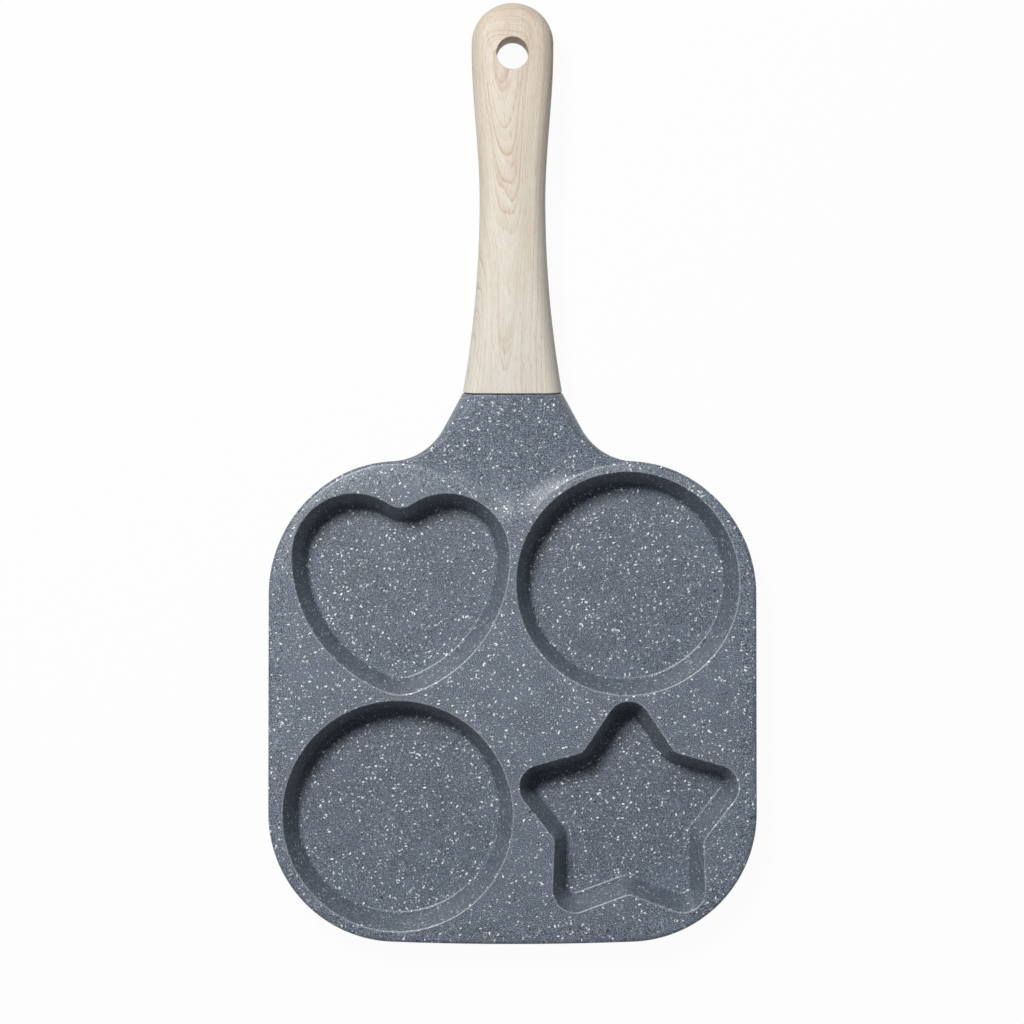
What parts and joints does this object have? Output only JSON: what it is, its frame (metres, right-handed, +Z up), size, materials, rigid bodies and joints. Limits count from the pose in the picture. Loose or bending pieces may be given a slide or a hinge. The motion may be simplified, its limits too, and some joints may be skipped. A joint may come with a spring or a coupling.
{
  "type": "breakfast pan",
  "caption": "Cast pan with heart, star and round cups sunk in a flat deck, a speckled non-stick coating, and a waisted wooden grip screwed from below to the casting's tang.",
  "frame": {"origin": "on the resting plane, under the middle of the pan's overall box", "axes": "+Y along the pan towards the grip's tail, +Z up out of the cups, +X to the right seen from above with the grip away from the viewer"},
  "size_m": [0.19, 0.366, 0.0271],
  "materials": {
    "coating": "satin blue-grey non-stick coating with small pale and dark flecks",
    "wood": "pale whitewashed wood, grain along the grip",
    "steel": "zinc-plated steel"
  },
  "bodies": {
    "root": {"pan_casting": "coating", "handle_grip": "wood", "handle_screw": "steel", "spring_washer": "steel", "plain_washer": "steel"}
  },
  "joints": []
}
